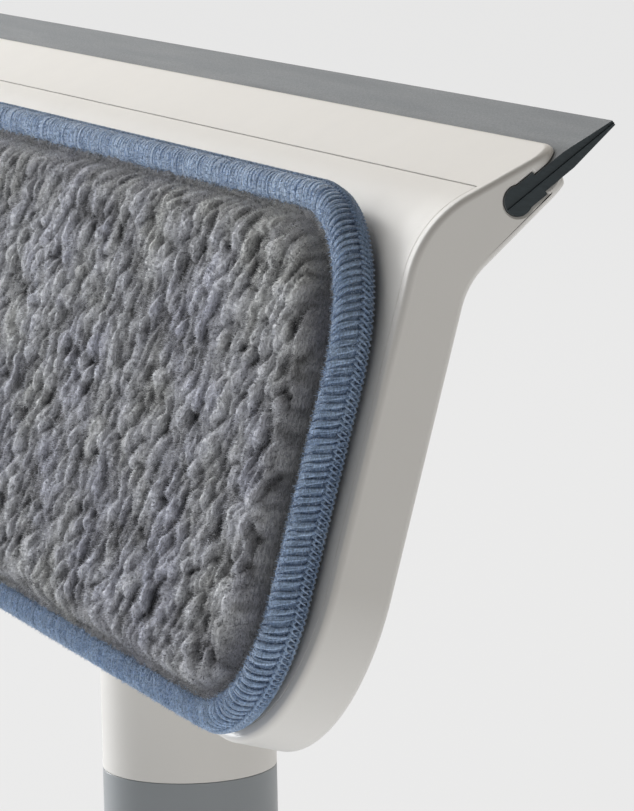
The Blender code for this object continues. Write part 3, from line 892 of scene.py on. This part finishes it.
def make_pile():
    """Microfibre pile: a cushion of soft tufts with rounded shoulders and a low rim beside the edging."""
    box = pad_box(PILE_INSET)
    heights = rows_of(*box[1:])
    widths = half_width_at(heights, *box)
    columns = np.linspace(-1, 1, round(2 * box[0] / PILE_SPACING) + 1)
    x = widths[:, None] * columns[None, :]
    z = np.repeat(heights[:, None], len(columns), 1)
    inside = np.maximum(inset_distance(x, z, *box), 0)
    climb = np.clip((inside - RIM_WIDTH) / SHOULDER_WIDTH, 0, 1)
    rounding = (1 - (1 - climb) ** 2.6) ** 0.62
    relief = pile_relief(x, z)
    threads = 0.25 * MM * value_noise(x, z * 0.5, 0.7 * MM, 31)
    plateau = PILE_TOP + PILE_DEPTH * (1 - relief)
    y = PILE_RIM + threads + (plateau - PILE_RIM) * rounding
    lean = PILE_LEAN * (relief - 0.5) * climb
    x = x + lean * 0.8
    z = z - lean * 0.6
    y[0] = y[-1] = PILE_RIM
    y[:, 0] = y[:, -1] = PILE_RIM
    rows, cols = x.shape
    verts = np.stack([x, y, z], -1).reshape(-1, 3)
    index = np.arange(rows * cols).reshape(rows, cols)
    quads = np.stack([index[:-1, :-1], index[:-1, 1:], index[1:, 1:], index[1:, :-1]], -1).reshape(-1, 4)
    rim = np.concatenate([index[0, :-1], index[:-1, -1], index[-1, :0:-1], index[:0:-1, 0]])
    floor = verts[rim].copy()
    floor[:, 1] = PILE_BOTTOM
    base = np.arange(len(rim)) + len(verts)
    after = np.roll(np.arange(len(rim)), -1)
    walls = np.stack([rim[after], rim, base, base[after]], -1)
    faces = quads.tolist() + walls.tolist() + [base.tolist()]
    pile = mesh_object("pile_cushion", np.concatenate([verts, floor]), faces)
    # painted shade for the cushion: dark where the relief is low between tufts, mid-dark on the rim beside
    # the edging, black underneath
    tuft_tone_and_painted_shade = np.zeros(len(verts) + len(floor))
    tuft_tone_and_painted_shade[:len(verts)] = (relief * climb ** 0.4 + 0.3 * (1 - climb ** 0.4)).reshape(-1)
    paint(pile, "tuft_tone_and_painted_shade", tuft_tone_and_painted_shade)
    pile.data.shade_smooth()
    complete(pile, "grey_pile", "pad", "pad_pile", "pad_foam")
    make_fibres(heights, np.stack([x, y, z], -1), relief, climb)


def unit(vectors):
    return vectors / np.maximum(np.linalg.norm(vectors, axis=-1, keepdims=True), 1e-12)


def sample(field, row, column):
    """Values of a grid of vectors or numbers at fractional rows and columns."""
    i = np.minimum(row.astype(int), field.shape[0] - 2)
    j = np.minimum(column.astype(int), field.shape[1] - 2)
    shape = (-1,) + (1,) * (field.ndim - 2)
    u = (row - i).reshape(shape)
    v = (column - j).reshape(shape)
    near = field[i, j] * (1 - v) + field[i, j + 1] * v
    far = field[i + 1, j] * (1 - v) + field[i + 1, j + 1] * v
    return near * (1 - u) + far * u


def spikes(name, root, aim, length, radius, rng):
    """Closed three-sided spikes from roots, directions and lengths; four vertices each, the tip last."""
    count = len(root)
    side = unit(np.cross(aim, rng.normal(0, 1, (count, 3))))
    other = np.cross(aim, side)
    corner = np.arange(3) * 2 * pi / 3
    ring = np.cos(corner)[None, :, None] * side[:, None] + np.sin(corner)[None, :, None] * other[:, None]
    ring = radius * ring
    verts = np.concatenate([root[:, None] + ring, (root + aim * length[:, None])[:, None]], 1)
    spike = np.array([(0, 1, 3), (1, 2, 3), (2, 0, 3), (2, 1, 0)])
    faces = (spike[None] + 4 * np.arange(count)[:, None, None]).reshape(-1, 3)
    made = mesh_object(name, verts, faces.tolist())
    made.data.shade_smooth()
    return made


def make_fibres(heights, surface, relief, climb):
    """Loose fibre ends over the whole pile, each a thin closed spike, combed in swirls."""
    rows, columns = relief.shape
    normals = unit(np.cross(np.gradient(surface, axis=1), np.gradient(surface, axis=0)))
    for number in range(FIBRE_PIECES):
        rng = np.random.default_rng(61 + number)
        count = FIBRES_IN_PIECE
        row = np.interp(rng.uniform(heights[0], heights[-1], count), heights, np.arange(rows))
        column = rng.uniform(0, columns - 1, count)
        root = sample(surface, row, column)
        outward = unit(sample(normals, row, column))
        rise = sample(relief, row, column)
        edge = sample(climb, row, column)
        swirl = radians(-70) + 2.2 * value_noise(root[:, 0], root[:, 2], 2.6 * MM, 71)
        comb = np.stack([np.cos(swirl), np.zeros(count), np.sin(swirl)], -1)
        aim = unit(0.9 * outward + 0.45 * comb + rng.normal(0, 0.25, (count, 3)))
        length = FIBRE_LENGTH * rng.uniform(0.55, 1.25, count) * (0.45 + 0.35 * rise + 0.2 * edge)
        fibres = spikes(f"pile_fibres_{number + 1}", root - FIBRE_ROOT * outward, aim, length + FIBRE_ROOT,
                        FIBRE_RADIUS, rng)
        # painted shade on the fibres: darker low between tufts, on flanks facing +X and towards the rim, and
        # at the roots than at the tips; plus random tone
        tone = rise ** 1.3 - PAINTED_FLANK_SHADE * outward[:, 0] + rng.normal(0.07, 0.3, count)
        values = np.stack([tone, tone, tone, tone + 0.35], -1) * (0.65 + 0.35 * edge)[:, None]
        paint(fibres, "tuft_tone_and_painted_shade", values.reshape(-1))
        complete(fibres, "grey_pile", "pad")


def edging_track():
    """The middle line of the edging: arc length, x, z and the direction that faces outwards."""
    half, bottom, top, lower, upper = pad_box(EDGING_INSET)
    points = []
    angles = []
    centres = ((half - lower, bottom + lower, lower), (half - upper, top - upper, upper))
    centres += ((upper - half, top - upper, upper), (lower - half, bottom + lower, lower))
    for quarter, (cx, cz, radius) in enumerate(centres):
        for k in range(121):
            turn = (quarter - 1) * pi / 2 + k * pi / 240
            points.append((cx + radius * cos(turn), cz + radius * sin(turn)))
            angles.append(turn)
    points.append(points[0])
    angles.append(angles[0] + 2 * pi)
    points = np.array(points)
    length = np.concatenate([[0], np.cumsum(np.hypot(*np.diff(points, axis=0).T))])
    return length, points, np.array(angles)


def on_edging(track, s, angle, lift):
    """Points and outward directions on the roll, at an arc length and an angle round its section."""
    length, points, angles = track
    total = length[-1]
    turns = np.floor(s / total)
    s = s - turns * total
    x = np.interp(s, length, points[:, 0])
    z = np.interp(s, length, points[:, 1])
    facing = np.interp(s, length, angles)
    outward = np.stack([np.cos(facing), np.zeros_like(facing), np.sin(facing)], -1)
    forward = np.array([0.0, -1.0, 0.0])
    tangent = np.stack([-np.sin(facing), np.zeros_like(facing), np.cos(facing)], -1)
    middle = np.stack([x, np.full_like(x, PAD_BACK - EDGING_THICKNESS / 2), z], -1)
    c = np.cos(angle)[..., None]
    d = np.sin(angle)[..., None]
    size = (np.abs(c) ** ROLL_POWER + np.abs(d) ** ROLL_POWER) ** (-1 / ROLL_POWER)
    radial = c * outward + d * forward
    half_width = EDGING_WIDTH / 2
    half_height = EDGING_THICKNESS / 2
    place = middle + size * (half_width * c * outward + half_height * d * forward) + radial * lift[..., None]
    return place, radial, tangent


def rings_round(centres, sideways, upward, radius, sides):
    """A ring of points round each (strand, station) centre."""
    turn = np.arange(sides) * 2 * pi / sides
    reach = np.cos(turn)[None, None, :, None] * sideways[:, :, None, :]
    reach = reach + np.sin(turn)[None, None, :, None] * upward[:, :, None, :]
    return centres[:, :, None, :] + radius[:, :, None, None] * reach


def tubes(name, centres, sideways, upward, radius, shade):
    """Closed tubes from arrays of (tube, station) centres and directions; shade is one value per tube."""
    sides = 5
    ring = rings_round(centres, sideways, upward, radius, sides)
    count, stations = centres.shape[:2]
    index = np.arange(count * stations * sides).reshape(count, stations, sides)
    nxt = np.roll(index, -1, axis=2)
    quads = np.stack([index[:, :-1], nxt[:, :-1], nxt[:, 1:], index[:, 1:]], -1).reshape(-1, 4)
    faces = quads.tolist() + index[:, 0, ::-1].tolist() + index[:, -1].tolist()
    obj = mesh_object(name, ring, faces)
    values = np.repeat(shade, stations * sides)
    paint(obj, "shade", values)
    obj.data.shade_smooth()
    return obj


def make_edging_core(track):
    """The rolled hem under the threads, painted dark as shade where it shows between them."""
    stations = 1100
    around = 20
    s = np.linspace(0, track[0][-1], stations, endpoint=False)[:, None] + np.zeros((1, around))
    angle = np.zeros((stations, 1)) + (np.arange(around) * 2 * pi / around)[None, :]
    lift = -0.26 * MM + 0.05 * MM * value_noise(s, angle * 2 * MM, 0.8 * MM, 41)
    place, _, _ = on_edging(track, s, angle, lift)
    quads = ring_quads(np.arange(stations * around).reshape(stations, around))
    core = mesh_object("edging_roll", place, quads)
    paint(core, "shade", np.full(stations * around, HEM_PAINTED_SHADE))
    core.data.shade_smooth()
    complete(core, "blue_yarn", "pad", "pad_edging")


def make_edging_threads(track):
    """Overlock threads across the roll, drawn together in groups along its outer side."""
    rng = np.random.default_rng(51)
    total = track[0][-1]
    groups = round(total / (THREAD_PITCH * THREADS_IN_GROUP))
    group_middle = (np.arange(groups) + 0.5) * total / groups + rng.normal(0, 0.07, groups) * MM
    spread = (np.arange(THREADS_IN_GROUP) - (THREADS_IN_GROUP - 1) / 2) * total / groups / THREADS_IN_GROUP
    base = (group_middle[:, None] + spread[None, :] + rng.normal(0, 0.035, (groups, THREADS_IN_GROUP)) * MM)
    middle = np.repeat(group_middle, THREADS_IN_GROUP)
    base = base.reshape(-1)
    count = len(base)
    stations = 19
    angle = np.linspace(radians(-95), radians(205), stations)[None, :] + np.zeros((count, 1))
    gather = 0.8 * np.clip(1 - angle / radians(105), 0, 1) ** 0.8
    sway = 0.10 * MM * value_noise(angle * 1.5 * MM, np.arange(count)[:, None] * MM, MM, 52)
    s = base[:, None] + (middle - base)[:, None] * gather + THREAD_SLANT * (1 - angle / pi) + sway
    loose = rng.normal(0, 0.04, (count, 1)) * MM
    swell = 0.16 * MM * np.exp(-((angle - radians(25)) / radians(32)) ** 2)
    lift = -0.12 * MM + loose + swell
    place, radial, tangent = on_edging(track, s, angle, lift)
    radius = THREAD_RADIUS * (1 + rng.normal(0, 0.08, (count, 1)) + np.zeros((1, stations)))
    shade = np.clip(rng.normal(0.6, 0.25, count), 0, 1)
    split = count // 2
    for side, part in (("right", slice(0, split)), ("left", slice(split, count))):
        name = "edging_threads_" + side
        threads = tubes(name, place[part], tangent[part], radial[part], radius[part], shade[part])
        complete(threads, "blue_yarn", "pad")


def make_edging_chain(track):
    """Three plaited strands along the outer side of the edging, behind the gathered threads."""
    total = track[0][-1]
    pitch = THREAD_PITCH * THREADS_IN_GROUP
    waves = round(total / pitch / 2)
    stations = waves * 10
    s = np.linspace(0, total, stations, endpoint=False)[None, :] + np.zeros((3, 1))
    phase = 2 * pi * (s / total * waves + np.arange(3)[:, None] / 3)
    angle = radians(-28) + radians(20) * np.sin(phase)
    lift = 0.28 * MM + 0.16 * MM * np.sin(2 * phase)
    place, radial, tangent = on_edging(track, s, angle, lift)
    across = np.cross(radial, tangent)
    sides = 6
    ring = rings_round(place, across, radial, np.full((3, stations), CHAIN_RADIUS), sides)
    quads = ring_quads(np.arange(3 * stations * sides).reshape(3, stations, sides))
    chain = mesh_object("edging_chain", ring, quads)
    paint(chain, "shade", np.full(3 * stations * sides, CHAIN_SHADE))
    chain.data.shade_smooth()
    complete(chain, "blue_yarn", "pad", "pad_edge_chain")


def make_edging_fuzz(track):
    """Fine fibre ends standing off the threads of the edging."""
    rng = np.random.default_rng(81)
    count = FUZZ_FIBRES
    s = rng.uniform(0, track[0][-1], count)
    angle = rng.uniform(radians(-60), radians(200), count)
    root, radial, tangent = on_edging(track, s, angle, np.full(count, 0.08 * MM))
    aim = unit(0.6 * radial + rng.normal(0, 0.55, (count, 3)))
    length = FUZZ_LENGTH * rng.uniform(0.5, 1.3, count)
    fuzz = spikes("edging_fuzz", root, aim, length, FUZZ_RADIUS, rng)
    values = np.repeat(np.clip(rng.normal(0.9, 0.35, count), 0, 1.6), 4)
    paint(fuzz, "shade", values)
    complete(fuzz, "blue_yarn", "pad")


# ---- neck and handle

def neck_screw_places():
    spread_x, spread_z = NECK_SCREW_SPREAD
    return [(sx * spread_x, FOOT_CENTRE + sz * spread_z) for sz in (-1, 1) for sx in (-1, 1)]


def neck_screw_face():
    """Depth of the neck screws' heads behind the face: they sit on the rear wall, inside the cavity."""
    return HEAD_DEPTH - WALL - GAP - SCREW_HEAD[1]


def neck_ring(bm, centre, turn, half_width, half_height, power):
    """One superellipse cross-section, facing up at turn 0 and forwards at a quarter turn."""
    verts = []
    for k in range(TURN_STEPS):
        angle = 2 * pi * k / TURN_STEPS
        x = half_width * abs(cos(angle)) ** (2 / power) * (1 if cos(angle) >= 0 else -1)
        w = half_height * abs(sin(angle)) ** (2 / power) * (1 if sin(angle) >= 0 else -1)
        verts.append(bm.verts.new((x, centre.x + w * cos(turn), centre.y + w * sin(turn))))
    return verts


def cut_neck_holes(neck, forward):
    """The spigot's bore, the foot's screw holes, and the recess and hole of the handle screw."""
    cut(neck, rod(SPIGOT_RADIUS + GAP, (0, 0, GRIP_END), (0, 0, 1), NECK_BOTTOM + SPIGOT_LENGTH + PAST))
    depth = neck_screw_face() + SCREW_LENGTH + GAP - HEAD_DEPTH
    for x, z in neck_screw_places():
        start = HEAD @ Vector((x, HEAD_DEPTH - PAST, z))
        cut(neck, rod(SHANK_RADIUS + GAP, start, -forward, depth + PAST))
    height = GRIP_END + HANDLE_SCREW_HEIGHT
    head_radius, head_height = SCREW_HEAD
    seat = HANDLE_SCREW_FACE - head_height - GAP
    wall = head_radius + GAP
    mouth = HANDLE_RADIUS + PAST
    profile = [(0, seat), (wall, seat), (wall, HANDLE_RADIUS - PAST / 2)]
    profile += [(wall + 2 * GAP, mouth), (0, mouth)]
    recess = turned(rounded(profile, SMALL_ROUND), 48)
    recess.transform(Matrix.Translation((0, 0, height)) @ Matrix.Rotation(-pi / 2, 4, "X"))
    cut(neck, recess)
    cut(neck, rod(SHANK_RADIUS + GAP, (0, 0, height), (0, 1, 0), HANDLE_RADIUS))


def make_neck():
    """Curved socket: round where it meets the handle, broad where it is screwed to the housing."""
    foot = HEAD @ Vector((0, HEAD_DEPTH + JOINT_LINE, FOOT_CENTRE))
    forward = HEAD.to_3x3() @ Vector((0, -1, 0))
    end = Vector((foot.y, foot.z))
    start = Vector((0, GRIP_END + NECK_BEND_START))
    control = Vector((0, end.y - end.x * forward.z / forward.y))
    bm = bmesh.new()
    bottom = Vector((0, GRIP_END + NECK_BOTTOM + JOINT_LINE))
    rim = HANDLE_RADIUS - SMALL_ROUND
    rings = [neck_ring(bm, bottom, 0, rim, rim, 2)]
    rings.append(neck_ring(bm, bottom + Vector((0, SMALL_ROUND)), 0, HANDLE_RADIUS, HANDLE_RADIUS, 2))
    for k in range(NECK_STATIONS + 1):
        t = k / NECK_STATIONS
        centre = start * (1 - t) ** 2 + control * 2 * t * (1 - t) + end * t ** 2
        blend = t ** 2 * (3 - 2 * t)
        half_width = HANDLE_RADIUS + (FOOT_HALF[0] - HANDLE_RADIUS) * blend
        half_height = HANDLE_RADIUS + (FOOT_HALF[1] - HANDLE_RADIUS) * blend
        power = 2 + (FOOT_POWER - 2) * blend
        rings.append(neck_ring(bm, centre, (pi / 2 - FACE_TILT) * t, half_width, half_height, power))
    neck = solid("neck_socket", skin(bm, rings))
    cut_neck_holes(neck, forward)
    complete_hard(neck, "white_plastic", "neck")


def make_handle_core():
    """White core: spigot, collar, and the tube inside the grip."""
    top = GRIP_END + NECK_BOTTOM + SPIGOT_LENGTH
    tube = HANDLE_RADIUS - SLEEVE_THICKNESS - GAP
    collar = GRIP_END + NECK_BOTTOM - JOINT_LINE
    profile = [(0, top), (SPIGOT_RADIUS, top), (SPIGOT_RADIUS, collar), (HANDLE_RADIUS, collar)]
    step = GRIP_END + JOINT_LINE / 2
    foot = -GRIP_END + GAP
    bore_top = GRIP_END + CORE_BORE_TOP
    profile += [(HANDLE_RADIUS, step), (tube, step), (tube, foot)]
    profile += [(CORE_BORE, foot), (CORE_BORE, bore_top), (0, bore_top)]
    core = solid("handle_collar", turned(rounded(profile, SMALL_ROUND / 2)))
    height = GRIP_END + HANDLE_SCREW_HEIGHT
    cut(core, rod(SHANK_RADIUS + GAP, (0, 0, height), (0, 1, 0), HANDLE_RADIUS))
    complete_hard(core, "white_plastic", "handle_core")


def make_grip():
    """Grey sleeve, flush with the collar."""
    inner = HANDLE_RADIUS - SLEEVE_THICKNESS
    end = GRIP_END - JOINT_LINE / 2
    profile = [(inner, end), (HANDLE_RADIUS, end), (HANDLE_RADIUS, -end), (inner, -end)]
    sleeve = solid("handle_grip", turned(rounded(profile, SMALL_ROUND / 2)))
    complete_hard(sleeve, "grey_plastic", "grip_sleeve")


def make_end_cap():
    """Grey cap with its plug and a slot to hang it by."""
    top = -GRIP_END - JOINT_LINE
    bottom = -GRIP_END - GAP / 2 - CAP_LENGTH
    plug = CORE_BORE - GAP
    profile = [(0, top + PLUG_LENGTH), (plug, top + PLUG_LENGTH), (plug, top)]
    profile += [(HANDLE_RADIUS - SMALL_ROUND, top), (HANDLE_RADIUS, top - SMALL_ROUND)]
    corner = (HANDLE_RADIUS - CAP_ROUND, bottom + CAP_ROUND)
    profile += [tuple(p) for p in arc(corner, CAP_ROUND, 0, -pi / 2, 16)]
    profile += [(0, bottom)]
    cap = solid("handle_cap", turned(profile))
    half_width, half_height = HANG_HOLE_HALF
    middle = -GRIP_END - GAP / 2 - HANG_HOLE_DROP
    slot = rounded_rectangle(half_width, middle - half_height, middle + half_height,
                             HANG_HOLE_CORNER, HANG_HOLE_CORNER, 12)
    cut(cap, prism(slot, along_y, -2 * HANDLE_RADIUS, 2 * HANDLE_RADIUS))
    round_edges(cap, CAP_EDGE_ROUND, 4, SHARP)
    complete_hard(cap, "grey_plastic", "end_cap")


def make_screw(name, node, head_face, direction, in_head):
    """Pan-head screw with a six-sided socket, whose shank points along a direction."""
    head_radius, head_height = SCREW_HEAD
    turns = [k * pi / 16 for k in range(9)]
    profile = [(head_radius * sin(t), head_height * CROWN_RISE * (1 - cos(t))) for t in turns]
    profile += [(head_radius, head_height), (SHANK_RADIUS, head_height), (SHANK_RADIUS, SCREW_LENGTH)]
    profile += [(0, SCREW_LENGTH)]
    body = solid(name, turned(profile, 48))
    cut(body, rod(SOCKET_RADIUS, (0, 0, -PAST), (0, 0, 1), PAST + SOCKET_DEPTH, 6))
    body.data.transform(Matrix.Translation(head_face) @ turn_to(direction))
    complete_hard(body, "steel", node, in_head)


def make_screws():
    for number, (x, z) in enumerate(neck_screw_places(), 1):
        place = Vector((x, neck_screw_face(), z))
        make_screw(f"foot_screw_{number}", f"neck_screw_{number}", place, (0, 1, 0), True)
    place = Vector((0, HANDLE_SCREW_FACE, GRIP_END + HANDLE_SCREW_HEIGHT))
    make_screw("socket_screw", "handle_screw", place, (0, -1, 0), False)


def finish_cad_nodes():
    """Materials for the CAD pieces whose shape is right as it is."""
    slots = {"hook_tape_lower": "hook_tape", "hook_tape_upper": "hook_tape"}
    slots |= {"pad_backing": "pad_core", "pad_foam": "pad_core"}
    for node, slot in slots.items():
        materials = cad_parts[node].data.materials
        materials.clear()
        materials.append(FINISH[slot])


# ---- stage

def make_camera():
    back = Vector((cos(VIEW_ELEVATION) * sin(VIEW_AZIMUTH), -cos(VIEW_ELEVATION) * cos(VIEW_AZIMUTH),
                   sin(VIEW_ELEVATION)))
    data = bpy.data.cameras.new("camera")
    data.lens = FOCAL_LENGTH
    data.sensor_width = 36
    data.clip_start = 0.05
    data.clip_end = 100
    camera = linked("camera", data)
    turn = back.to_track_quat("Z", "Y").to_matrix().to_4x4() @ Matrix.Rotation(VIEW_ROLL, 4, "Z")
    camera.matrix_world = Matrix.Translation(AIM + back * VIEW_DISTANCE) @ turn
    bpy.context.scene.camera = camera


def make_floor():
    """Plain pale floor."""
    corners = [(x * FLOOR_HALF, y * FLOOR_HALF, 0) for x, y in ((-1, -1), (1, -1), (1, 1), (-1, 1))]
    floor = mesh_object("floor", corners, [(0, 1, 2, 3)])
    floor.location.z = cad_box[0].z
    nodes = Nodes("floor")
    nodes.set(Base_Color=(0.05, 0.05, 0.05), Roughness=0.9, Specular_IOR_Level=0.0)
    nodes.set(Emission_Color=(1, 1, 1), Emission_Strength=FLOOR_GLOW)
    floor.data.materials.append(nodes.made)


def make_world():
    """Soft studio surroundings: bright behind and to the left of the object, dim in front of it."""
    world = bpy.data.worlds.new("studio")
    world.use_nodes = True
    tree = world.node_tree
    background = tree.nodes["Background"]
    background.inputs["Color"].default_value = WORLD_COLOUR
    direction = tree.nodes.new("ShaderNodeTexCoord")
    facing = tree.nodes.new("ShaderNodeVectorMath")
    facing.operation = "DOT_PRODUCT"
    facing.inputs[1].default_value = WORLD_BRIGHT_SIDE
    strength = tree.nodes.new("ShaderNodeMapRange")
    strength.interpolation_type = "SMOOTHSTEP"
    strength.inputs["To Min"].default_value = WORLD_DIM
    strength.inputs["To Max"].default_value = WORLD_BRIGHT
    tree.links.new(direction.outputs["Generated"], facing.inputs[0])
    tree.links.new(facing.outputs["Value"], strength.inputs["Value"])
    tree.links.new(strength.outputs["Result"], background.inputs["Strength"])
    bpy.context.scene.world = world


def make_lights():
    """Square lamps that face the head."""
    for name, (place, size, power, colour) in LIGHTS.items():
        data = bpy.data.lights.new(name, "AREA")
        data.shape = "RECTANGLE"
        data.size = size
        data.size_y = size
        data.energy = power
        data.color = colour
        lamp = linked(name, data)
        lamp.location = place
        lamp.rotation_euler = (Vector(place) - LIGHT_AIM).to_track_quat("Z", "Y").to_euler()


bpy.context.scene.view_settings.view_transform = "Standard"
make_camera()
make_housing()
make_front_panel()
make_blade()
make_pile()
edging = edging_track()
make_edging_core(edging)
make_edging_threads(edging)
make_edging_chain(edging)
make_edging_fuzz(edging)
make_neck()
make_handle_core()
make_grip()
make_end_cap()
make_screws()
finish_cad_nodes()
make_floor()
make_world()
make_lights()
